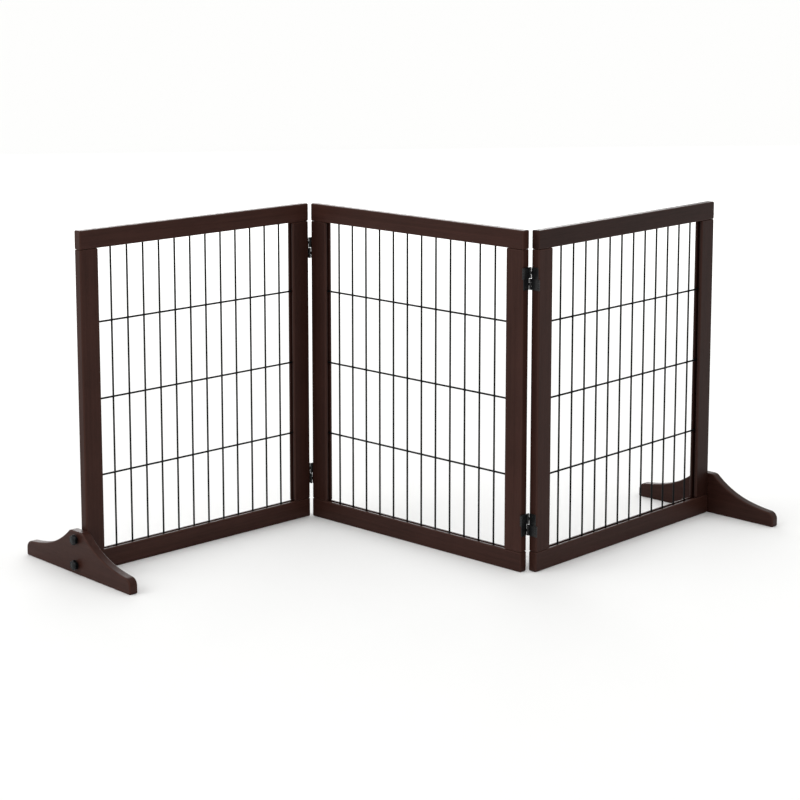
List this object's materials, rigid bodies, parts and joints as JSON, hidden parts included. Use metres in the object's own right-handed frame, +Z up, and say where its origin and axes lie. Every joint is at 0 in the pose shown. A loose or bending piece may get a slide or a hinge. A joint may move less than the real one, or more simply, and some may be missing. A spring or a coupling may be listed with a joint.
{
  "type": "pet gate",
  "caption": "Freestanding folding pet gate: dark stained wood frames with black wire panels, joined by two-way hinges and held up by shaped end feet with hand knobs.",
  "frame": {"origin": "on the floor under the centre of the middle panel", "axes": "+X along the middle panel to the right seen from its front, -Y out of its front face, +Z up"},
  "size_m": [0.9035, 1.1109, 0.61],
  "materials": {
    "stained_wood": "satin dark brown stain and lacquer",
    "black_wire": "black powder-coated welded wire",
    "black_steel": "black painted steel",
    "black_plastic": "moulded black plastic",
    "brass": "plain turned brass"
  },
  "bodies": {
    "middle_panel": {"left_lower_hinge_right_leaf": "black_steel", "left_lower_hinge_right_screw_1": "black_steel", "left_lower_hinge_right_screw_2": "black_steel", "left_lower_hinge_upper_link": "black_steel", "left_upper_hinge_right_leaf": "black_steel", "left_upper_hinge_right_screw_1": "black_steel", "left_upper_hinge_right_screw_2": "black_steel", "left_upper_hinge_upper_link": "black_steel", "middle_bottom_rail": "stained_wood", "middle_left_stile": "stained_wood", "middle_right_stile": "stained_wood", "middle_top_rail": "stained_wood", "middle_wire_panel": "black_wire", "right_lower_hinge_left_leaf": "black_steel", "right_lower_hinge_left_screw_1": "black_steel", "right_lower_hinge_left_screw_2": "black_steel", "right_lower_hinge_upper_link": "black_steel", "right_upper_hinge_left_leaf": "black_steel", "right_upper_hinge_left_screw_1": "black_steel", "right_upper_hinge_left_screw_2": "black_steel", "right_upper_hinge_upper_link": "black_steel"},
    "left_panel": {"left_bottom_rail": "stained_wood", "left_foot": "stained_wood", "left_left_stile": "stained_wood", "left_lower_hinge_left_leaf": "black_steel", "left_lower_hinge_left_screw_1": "black_steel", "left_lower_hinge_left_screw_2": "black_steel", "left_lower_hinge_lower_link": "black_steel", "left_lower_insert": "brass", "left_right_stile": "stained_wood", "left_top_rail": "stained_wood", "left_upper_hinge_left_leaf": "black_steel", "left_upper_hinge_left_screw_1": "black_steel", "left_upper_hinge_left_screw_2": "black_steel", "left_upper_hinge_lower_link": "black_steel", "left_upper_insert": "brass", "left_wire_panel": "black_wire"},
    "right_panel": {"right_bottom_rail": "stained_wood", "right_foot": "stained_wood", "right_left_stile": "stained_wood", "right_lower_hinge_lower_link": "black_steel", "right_lower_hinge_right_leaf": "black_steel", "right_lower_hinge_right_screw_1": "black_steel", "right_lower_hinge_right_screw_2": "black_steel", "right_lower_insert": "brass", "right_right_stile": "stained_wood", "right_top_rail": "stained_wood", "right_upper_hinge_lower_link": "black_steel", "right_upper_hinge_right_leaf": "black_steel", "right_upper_hinge_right_screw_1": "black_steel", "right_upper_hinge_right_screw_2": "black_steel", "right_upper_insert": "brass", "right_wire_panel": "black_wire"},
    "left_lower_knob": {"left_lower_knob": "black_plastic"},
    "left_upper_knob": {"left_upper_knob": "black_plastic"},
    "right_lower_knob": {"right_lower_knob": "black_plastic"},
    "right_upper_knob": {"right_upper_knob": "black_plastic"}
  },
  "joints": [
    {"name": "fold_left", "type": "hinge", "parent": "middle_panel", "child": "left_panel", "pos_m": [-0.261, -0.0095, 0], "axis": [0, 0, 1], "range_deg": [-86, 76]},
    {"name": "fold_right", "type": "hinge", "parent": "middle_panel", "child": "right_panel", "pos_m": [0.261, 0.0095, 0], "axis": [0, 0, 1], "range_deg": [-89, 73]},
    {"name": "left_lower_knob_turn", "type": "hinge", "parent": "left_panel", "child": "left_lower_knob", "pos_m": [-0.30798, -0.54513, 0.018], "axis": [-0.0698, -0.9976, 0], "continuous": true},
    {"name": "left_upper_knob_turn", "type": "hinge", "parent": "left_panel", "child": "left_upper_knob", "pos_m": [-0.30798, -0.54513, 0.064], "axis": [-0.0698, -0.9976, 0], "continuous": true},
    {"name": "right_lower_knob_turn", "type": "hinge", "parent": "right_panel", "child": "right_lower_knob", "pos_m": [0.27988, 0.54685, 0.018], "axis": [0.0175, 0.9998, 0], "continuous": true},
    {"name": "right_upper_knob_turn", "type": "hinge", "parent": "right_panel", "child": "right_upper_knob", "pos_m": [0.27988, 0.54685, 0.064], "axis": [0.0175, 0.9998, 0], "continuous": true}
  ]
}
